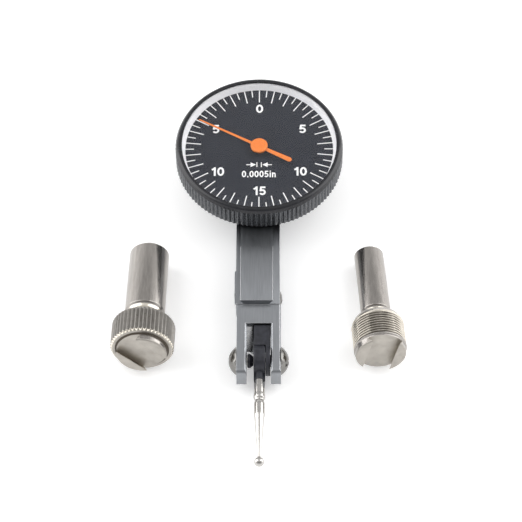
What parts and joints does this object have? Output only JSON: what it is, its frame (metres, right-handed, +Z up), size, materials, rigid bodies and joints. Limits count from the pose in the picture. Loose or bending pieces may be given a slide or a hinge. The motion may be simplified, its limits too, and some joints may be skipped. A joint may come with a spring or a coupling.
{
  "type": "dial test indicator set",
  "caption": "Lever-type dial test indicator lying on its back, with two loose dovetail mounting stems, one with a knurled clamp nut.",
  "frame": {"origin": "centre of the set's bounding box, on the surface that it lies on", "axes": "+Z up, the way the dial faces; -Y the way the contact stylus points; +X to the small stem's side"},
  "size_m": [0.0584, 0.088, 0.0139],
  "materials": {
    "body_grey": "fine vertical brushed satin",
    "case_black": "satin black",
    "bezel_black": "glossy black anodised",
    "screw_nickel": "bright nickel",
    "steel": "polished",
    "stem_nickel": "warm nickel plate, lightly brushed",
    "brass": "machined",
    "spring": "blued",
    "knuckle_black": "blackened steel",
    "dial_black": "matte charcoal",
    "ring_white": "satin white",
    "pointer_orange": "satin orange",
    "crystal": "clear polished",
    "ball": "polished carbide"
  },
  "bodies": {
    "body": {"body_frame": "body_grey", "back_cover": "body_grey", "back_cover_screws": "steel", "access_cover": "body_grey", "access_screw": "screw_nickel", "side_screw": "screw_nickel", "pivot_screw_left": "screw_nickel", "pivot_screw_right": "screw_nickel", "dial_case": "case_black", "case_screws": "steel", "movement_plate": "brass", "plate_pillars": "brass", "plate_screws": "steel", "bezel_wire": "steel", "centre_bush": "brass", "cross_bushes": "brass", "lower_cock": "brass", "cock_screw": "steel", "hairspring": "spring", "hairspring_stud": "brass"},
    "bezel_ring": {"bezel": "bezel_black", "crystal": "crystal", "reflector_ring": "ring_white", "dial_plate": "dial_black"},
    "pointer_arbor": {"pointer": "pointer_orange", "centre_pinion": "steel", "hairspring_collet": "brass"},
    "cross_shaft": {"cross_pinion": "steel", "crown_gear": "brass"},
    "lever": {"lever_block": "knuckle_black", "sector_lever": "steel", "pivot_shaft": "steel", "friction_collar": "knuckle_black"},
    "stylus": {"stylus_knuckle": "knuckle_black", "stylus_shank": "steel", "stylus_needle": "steel", "contact_ball": "ball"},
    "large_stem": {"large_stem": "stem_nickel"},
    "clamp_nut": {"knurled_nut": "stem_nickel"},
    "small_stem": {"small_stem": "stem_nickel"}
  },
  "joints": [
    {"name": "bezel_turn", "type": "hinge", "parent": "body", "child": "bezel_ring", "pos_m": [0.00004, 0.02585, 0.0119], "axis": [0, 0, 1], "continuous": true},
    {"name": "lever_tilt", "type": "hinge", "parent": "body", "child": "lever", "pos_m": [0.00004, -0.02035, 0.0042], "axis": [1, 0, 0], "range_deg": [-1, 1], "stiffness_Nm_per_rad": 0.2},
    {"name": "cross_shaft_turn", "type": "hinge", "parent": "body", "child": "cross_shaft", "pos_m": [0.00004, 0.02585, 0.0055], "axis": [1, 0, 0], "range_deg": [-36.5, 36.5]},
    {"name": "pointer_turn", "type": "hinge", "parent": "body", "child": "pointer_arbor", "pos_m": [0.00004, 0.02585, 0.0119], "axis": [0, 0, 1], "range_deg": [-188, 188]},
    {"name": "stylus_swivel", "type": "hinge", "parent": "lever", "child": "stylus", "pos_m": [0.00004, -0.02035, 0.0042], "axis": [1, 0, 0], "range_deg": [-105, 105]},
    {"name": "large_stem_lift", "type": "slide", "parent": "body", "child": "large_stem", "axis": [0, 0, 1], "range_m": [0, 0.03]},
    {"name": "clamp_nut_turn", "type": "hinge", "parent": "large_stem", "child": "clamp_nut", "pos_m": [-0.02284, -0.01663, 0.00661], "axis": [-0.0286, -0.9922, 0.1212], "continuous": true},
    {"name": "small_stem_lift", "type": "slide", "parent": "body", "child": "small_stem", "axis": [0, 0, 1], "range_m": [0, 0.03]}
  ],
  "couplings": [
    {"joint": "cross_shaft_turn", "follows": "lever_tilt", "ratio": -36},
    {"joint": "pointer_turn", "follows": "lever_tilt", "ratio": -187.2}
  ]
}
